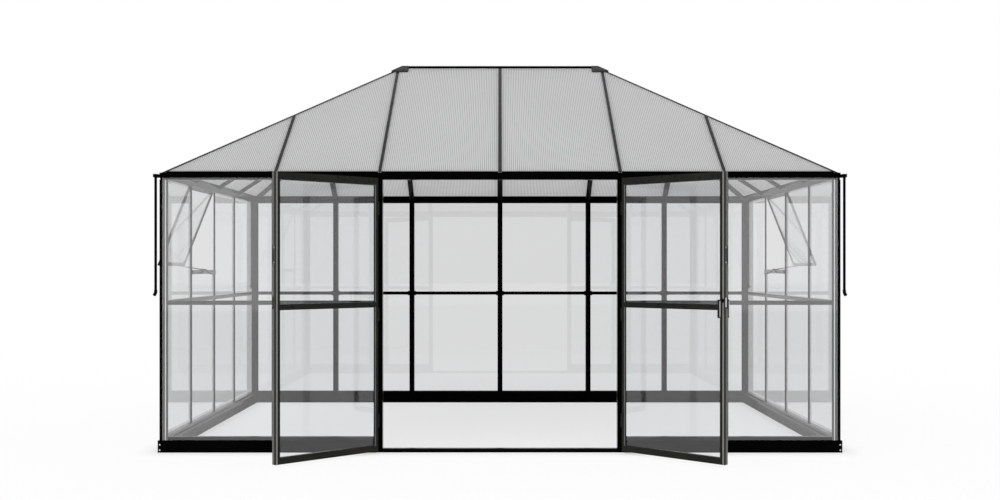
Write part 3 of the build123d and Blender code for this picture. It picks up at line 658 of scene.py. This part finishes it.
front_left = Matrix.Translation((-LENGTH / 2, FRONT, 0.0))
to_back = Matrix.Translation((0.0, 2.0 * MIDDLE, 0.0)) @ Matrix.Scale(-1.0, 4, (0.0, 1.0, 0.0))
CORNERS = (front_left, MIRROR @ front_left, to_back @ front_left, to_back @ MIRROR @ front_left)
angle.placed(*CORNERS).piece("corner_angles", "frame", "frame_black", BLACK, instead=("corner_posts",))
seals.placed(*CORNERS).piece("corner_seals", "frame", "trim_plastic", SEAL)
rail_ends.placed(*CORNERS).piece("corner_rail_ends", "frame", "frame_black", BLACK)


# ---------------------------------------------------------------- vents

# Under each vent, the cross rail; and the bent stay that holds the vent open. The vent hangs
# from a pin at VENT_PIN (inwards, height), in the bay beyond its wall's middle bar.
VENT_PIN = (-0.001, 1.84)
VENT_TURN = math.radians(21.5)
VENT_TO_HOOK = 0.629 - 0.011
HOOK_SHIFT = (0.0047, -0.0018)
SILL_RAIL = (0.004, 0.023)
SILL_RAIL_TOP = 1.222
SILL_RAIL_HEIGHT = 0.03
BAR_HALF = 0.011
STAY_THICK = 0.008
STAY_HALF = 0.007
STAY_OUT = -0.007
STAY_TAIL = ((0.004, 0.0), (0.033, -0.031), (0.079, -0.0395))
STAY_RADII = (0.02, 0.008, 0.014)

sill_rail = Shape().box((BAR_HALF, BAY - BAR_HALF), SILL_RAIL,
                        (SILL_RAIL_TOP - SILL_RAIL_HEIGHT, SILL_RAIL_TOP))
sill_rail.placed(*END_WALLS).piece("vent_sill_rails", "frame", "frame_black", BLACK,
                                   instead=("vent_cross_rails",))

hook = (VENT_PIN[0] - VENT_TO_HOOK * math.sin(VENT_TURN) + HOOK_SHIFT[0],
        VENT_PIN[1] - VENT_TO_HOOK * math.cos(VENT_TURN) + HOOK_SHIFT[1])
level = SILL_RAIL_TOP + STAY_THICK / 2
tail = [(SILL_RAIL[1] + inwards, level + up) for inwards, up in STAY_TAIL]
stay_line = rounded([hook, (STAY_OUT, level), *tail], STAY_RADII)
stay = Shape().run(flat_bar(stay_line, STAY_THICK), (BAY / 2 - STAY_HALF, BAY / 2 + STAY_HALF))
stay.placed(*END_WALLS).piece("vent_stay_bars", "frame", "edge_steel", STAY, instead=("vent_stays",))


# ---------------------------------------------------------------- doors

# A leaf is drawn closed, as the right-hand one, and turned to the angle at which it stands.
# Its y falls from the face towards the house, LEAF_INNER, to the other one, LEAF_OUTER in the
# CAD. The real leaf is deeper, so a layer of LEAF_SKIN is added there.
PIVOT = Vector((0.816, -0.049, 0.0))
STANDING_OPEN = 136.5
LEAF_FREE = 0.004
LEAF_HINGE = 0.804
LEAF_INNER = -0.031
LEAF_OUTER = -0.059
LEAF_SKIN = 0.008
LEAF_BACK = LEAF_OUTER - LEAF_SKIN
LEAF_STILE = 0.034
LEAF_SPAN = (0.015, 1.839)
LEAF_BETWEEN = (LEAF_FREE + LEAF_STILE, LEAF_HINGE - LEAF_STILE)
PANES = ((0.054, 0.979), (1.009, 1.793))
PANE_THROUGH = (-0.0395, -0.0365)
PANE_FACE = -0.0363
PANE_IN_STILE = 0.006
FREE_BODY = 0.0275          # width of the free stile behind the pane
HINGE_BODY = 0.012
EDGE_SPANS = ((LEAF_SPAN[0], 0.9848), (1.0602, 1.2648), (1.3752, LEAF_SPAN[1]))  # clear of the plates
HINGE_HEIGHTS = (0.215, 0.927, 1.639)
PLATE_SCREWS = (1.273, 1.367)
LEVER_HEIGHT = 1.036


def leaf_uprights():
    """Stiles as angles: a flange in front of the pane, and a body along the edge of the leaf."""
    free, hinge = LEAF_BETWEEN
    inside = LEAF_FREE + FREE_BODY
    shape = Shape().upright([
        (LEAF_FREE, LEAF_INNER), (free, LEAF_INNER), (free, PANE_FACE), (inside, PANE_FACE),
        (inside, LEAF_BACK), (LEAF_FREE, LEAF_BACK)], LEAF_SPAN)
    inside = LEAF_HINGE - HINGE_BODY
    return shape.upright([
        (LEAF_HINGE, LEAF_INNER), (hinge, LEAF_INNER), (hinge, PANE_FACE), (inside, PANE_FACE),
        (inside, LEAF_OUTER), (LEAF_HINGE, LEAF_OUTER)], LEAF_SPAN)


def leaf_skin():
    """The outer layer over the three rails."""
    back = (LEAF_BACK, LEAF_OUTER + FIT)
    (low_start, low_stop), (high_start, high_stop) = PANES
    shape = Shape()
    for rail in ((LEAF_SPAN[0], low_start), (low_stop, high_start), (high_stop, LEAF_SPAN[1])):
        shape.box(LEAF_BETWEEN, back, rail)
    return shape


def leaf_panes():
    shape = Shape()
    for low, high in PANES:
        across = (LEAF_BETWEEN[0] - PANE_IN_STILE, LEAF_BETWEEN[1] + PANE_IN_STILE)
        shape.box(across, PANE_THROUGH, (low + 0.0003, high - 0.0003))
    return shape


def leaf_beads():
    """Beads on the outer side of each pane, along its upper and lower edges."""
    shape = Shape()
    for low, high in PANES:
        shape.box(LEAF_BETWEEN, (-0.0585, -0.04), (low, low + 0.004))
        shape.box(LEAF_BETWEEN, (-0.0585, -0.04), (high - 0.004, high))
    return shape


def leaf_gaskets():
    """Rubber beside the hinge stile's pane edge, and above and below each pane."""
    shape = Shape()
    across = (LEAF_BETWEEN[1] + 0.0005, LEAF_BETWEEN[1] + 0.007)
    for low, high in PANES:
        shape.box(across, (LEAF_INNER - FIT, LEAF_INNER + 0.0006), (low, high))
        shape.box(LEAF_BETWEEN, (PANE_FACE, -0.0325), (low, low + 0.003))
        shape.box(LEAF_BETWEEN, (PANE_FACE, -0.0325), (high - 0.003, high))
    return shape


def leaf_hinge_highlight():
    """A painted highlight: a pale stripe on the inner face of the hinge stile, where it catches the light.
    """
    shape = Shape()
    across = (LEAF_BETWEEN[1] + 0.007, LEAF_BETWEEN[1] + 0.0145)
    for pane in PANES:
        shape.box(across, (LEAF_INNER - FIT, LEAF_INNER + 0.0008), pane)
    return shape


def leaf_edge_highlight():
    """A painted highlight: a pale stripe down the inner face of the free stile, where its corner catches
    the light.
    """
    return Shape().box((0.0115, 0.0175), (LEAF_INNER - FIT, LEAF_INNER + 0.0006), LEAF_SPAN)


def leaf_brush():
    """A brush round the inner corner of the free edge."""
    shape = Shape().box((LEAF_FREE, 0.0113), (LEAF_INNER - FIT, LEAF_INNER + 0.0004), LEAF_SPAN)
    for span in EDGE_SPANS:
        shape.box((LEAF_FREE - 0.0006, LEAF_FREE + FIT), (-0.0395, LEAF_INNER), span)
    return shape


def leaf_outer_edge_highlight():
    """A painted highlight: a pale stripe along the outer half of the free edge, where it catches the
    light.
    """
    shape = Shape()
    for span in EDGE_SPANS:
        shape.box((LEAF_FREE - 0.0005, LEAF_FREE + FIT), (-0.0665, -0.0495), span)
    return shape


def leaf_screws():
    """Two screws in the edge plate, and two in each hinge."""
    shape = Shape()
    for height in PLATE_SCREWS:
        shape.disc((LEAF_FREE - 0.001, -0.045, height), (-1.0, 0.0, 0.0), 0.0048, 0.0014)
    for height in HINGE_HEIGHTS:
        for lift in (-0.036, 0.036):
            shape.disc((LEAF_HINGE + 0.0028, -0.045, height + lift), (1.0, 0.0, 0.0), 0.0035, 0.0012)
    return shape


# Name, shape, slot, finish, and the node that it replaces.
LEAF = (
    ("leaf_uprights", leaf_uprights(), "frame_black", LIT_DOOR_BLACK, "door_stiles"),
    ("leaf_skin", leaf_skin(), "frame_black", LIT_DOOR_BLACK, None),
    ("leaf_panes", leaf_panes(), "wall_glass", DOOR_GLASS, "door_glass"),
    ("leaf_beads", leaf_beads(), "frame_black", BLACK, None),
    ("leaf_gaskets", leaf_gaskets(), "trim_plastic", RUBBER, None),
    ("leaf_hinge_highlight", leaf_hinge_highlight(), "frame_black", HIGHLIGHT_GREY, None),
    ("leaf_edge_highlight", leaf_edge_highlight(), "trim_plastic", EDGE_HIGHLIGHT, None),
    ("leaf_brush", leaf_brush(), "trim_plastic", BRUSH, None),
    ("leaf_outer_edge_highlight", leaf_outer_edge_highlight(), "frame_black", HIGHLIGHT_GREY, None),
    ("leaf_screws", leaf_screws(), "edge_steel", BRIGHT, None),
)
turned = Matrix.Rotation(math.radians(STANDING_OPEN), 4, "Z")
OPENED = Matrix.Translation(PIVOT) @ turned @ Matrix.Translation(-PIVOT)
DOORS = {"right": OPENED, "left": MIRROR @ OPENED}
for side, place in DOORS.items():
    for name, shape, slot, finish, node in LEAF:
        instead = (f"{side}_{node}",) if node else ()
        shape.placed(place).piece(f"{side}_{name}", f"{side}_door", slot, finish, instead)

# Painted highlights down the lever's sides, the lock's face, and the rose on the outer side.
lever_highlights = Shape()
for middle in (0.007, -0.097):
    for edge_x in (0.0127, 0.0285):
        lever_highlights.box((edge_x, edge_x + 0.0008), (middle - 0.0035, middle + 0.0035), (0.936, 1.034))
lever_highlights.placed(OPENED).piece("lever_side_highlights", "door_handle", "lever_chrome", BRIGHT)
lock = Shape().box((LEAF_FREE - 0.0021, LEAF_FREE - 0.001), (-0.052, -0.038), (0.995, 1.054))
lock.placed(OPENED).piece("lock_face", "right_door", "edge_steel", BRIGHT)
rose = Shape().disc((0.021, LEAF_BACK + 0.0005, LEVER_HEIGHT), (0.0, -1.0, 0.0), 0.014, 0.0035, sides=24)
rose.placed(OPENED).piece("outer_rose", "right_door", "trim_plastic", PLASTIC)


# ---------------------------------------------------------------- screws and cleats

# Two screws at each end of the front plinth, and two on each hinge bracket.
screws = Shape()
for x in (-2.281, 2.281):
    for height in (0.017, 0.053):
        screws.disc((x, FRONT - 0.0085, height), (0.0, -1.0, 0.0), 0.0055, 0.0025)
for x in (-0.826, 0.826):
    for height in HINGE_HEIGHTS:
        for lift in (-0.034, 0.034):
            screws.disc((x, FRONT - 0.0028, height + lift), (0.0, -1.0, 0.0), 0.0038, 0.0016)
screws.piece("frame_screws", "frame", "edge_steel", BRIGHT)

# Cleats on the back posts, where the mid rail is bolted on.
cleats = Shape()
inner_face = FRONT + DEPTH - BEAM
for x in LONG_BARS:
    for side in (-1.0, 1.0):
        edge_x = x + side * POST_HALF
        near, far = sorted((edge_x, edge_x + side * 0.014))
        cleats.box((near, far), (inner_face - 0.002, inner_face + 0.03), (0.984, 1.025))
cleats.piece("rail_cleats", "frame", "frame_black", BLACK)


# ---------------------------------------------------------------- floor, light, camera

FLOOR_REACH = (60.0, -25.0, 80.0)   # to each side, to the front and to the back
HOUSE_HALF = (2.3, 1.5)
HOUSE_MIDDLE = 1.45


def pale_floor():
    """White paper that keeps the shadow, and glows into the background away from the walls.
    The glow is weak inside the house, which keeps the shade there, and strong just outside the
    walls, which washes the shadow out: painted shade and painted light, set by place.
    """
    s = material("studio_floor")
    place = s.place()
    tone = s.spread(s.noise(place, scale=1.2, detail=4.0), 0.3, 0.7)
    shaded = s.principled({
        "Base Color": s.blend(tone, (0.95, 0.95, 0.953), (0.965, 0.965, 0.966)),
        "Roughness": 0.9,
        "Specular IOR Level": 0.0,
    })
    parts = s.split(place)
    across = s.math("SUBTRACT", s.math("ABSOLUTE", parts["X"]), HOUSE_HALF[0])
    from_middle = s.math("ABSOLUTE", s.math("SUBTRACT", parts["Y"], HOUSE_MIDDLE))
    along = s.math("SUBTRACT", from_middle, HOUSE_HALF[1])
    squares = [s.math("POWER", s.math("MAXIMUM", value, 0.0), 2.0) for value in (across, along)]
    away = s.math("SQRT", s.math("ADD", *squares))
    # Painted shade and light: the glow share is low inside the house and high from 0.15 m outside the
    # walls.
    near = s.spread(away, 0.0, 0.15, 0.46, 0.88)
    glow = s.math("ADD", near, s.spread(away, 2.0, 8.0, 0.0, 0.14), clamp=True)
    path = s.add("ShaderNodeLightPath").outputs
    behind_glass = s.math("GREATER_THAN", path["Transparent Depth"], 0.5)
    dimming = s.math("MULTIPLY", behind_glass, s.spread(away, 0.0, 0.15, 0.0, 0.26))
    level = s.math("SUBTRACT", 1.0, dimming)
    level = s.math("SUBTRACT", level, s.math("MULTIPLY", path["Is Glossy Ray"], 0.1))
    white = s.add("ShaderNodeEmission", {"Color": (1.0, 1.0, 1.0, 1.0), "Strength": level}).outputs[0]
    share = s.math("MULTIPLY", glow, s.seen(path))
    return s.finish(s.mix(share, shaded, white))


def add_floor():
    shape = bmesh.new()
    bmesh.ops.create_grid(shape, x_segments=2, y_segments=2, size=1.0)
    half_width, front, back = FLOOR_REACH
    for vertex in shape.verts:
        vertex.co.x *= half_width
        vertex.co.y = front if vertex.co.y < -0.5 else back if vertex.co.y > 0.5 else 0.0
    floor_mesh = bpy.data.meshes.new("floor")
    shape.to_mesh(floor_mesh)
    shape.free()
    floor_mesh.materials.append(pale_floor())
    floor = linked("floor", floor_mesh)


def studio_world():
    """White seen directly, a light grey seen through glass, and plain soft light on surfaces.

    What metal and glass mirror is white in front of the house and darker beside it.
    """
    w = Nodes(bpy.data.worlds.new("studio"))
    path = w.add("ShaderNodeLightPath").outputs
    lit = w.add("ShaderNodeBackground", {"Color": (0.97, 0.985, 1.0, 1.0), "Strength": 0.86}).outputs[0]
    behind_glass = w.math("GREATER_THAN", path["Transparent Depth"], 0.5)
    direct = w.math("SUBTRACT", 1.0, w.math("MULTIPLY", behind_glass, 1.0 - SEEN_THROUGH_GLASS))
    heading = w.split(w.add("ShaderNodeTexCoord").outputs["Generated"])["Y"]
    mirrored = w.spread(heading, -0.5, -0.85, MIRRORED_BESIDE, MIRRORED_IN_FRONT)
    change = w.math("MULTIPLY", path["Is Glossy Ray"], w.math("SUBTRACT", mirrored, direct))
    strength = w.math("ADD", direct, change)
    shown = w.add("ShaderNodeBackground", {"Color": (1.0, 1.0, 1.0, 1.0), "Strength": strength}).outputs[0]
    return w.finish(w.mix(w.seen(path), lit, shown), "ShaderNodeOutputWorld")


def add_sun():
    sun_data = bpy.data.lights.new("soft_key", "SUN")
    sun_data.energy = 0.55
    sun_data.angle = math.radians(60.0)
    sun_data.color = (1.0, 0.985, 0.96)
    sun = bpy.data.objects.new("soft_key", sun_data)
    sun.rotation_euler = (math.radians(38.0), 0.0, math.radians(-30.0))
    bpy.context.scene.collection.objects.link(sun)


def add_camera():
    camera_data = bpy.data.cameras.new("camera")
    camera_data.lens = 42.12
    camera_data.sensor_width = 36.0
    camera_data.shift_y = 0.0168
    camera_data.clip_end = 200.0
    camera = bpy.data.objects.new("camera", camera_data)
    camera.location = CAMERA_PLACE
    camera.rotation_euler = (math.radians(90.0), 0.0, 0.0)
    bpy.context.scene.collection.objects.link(camera)
    bpy.context.scene.camera = camera


add_floor()
bpy.context.scene.world = studio_world()
add_sun()
add_camera()
bpy.context.scene.view_settings.view_transform = "Standard"
bpy.context.scene.cycles.transparent_max_bounces = 32
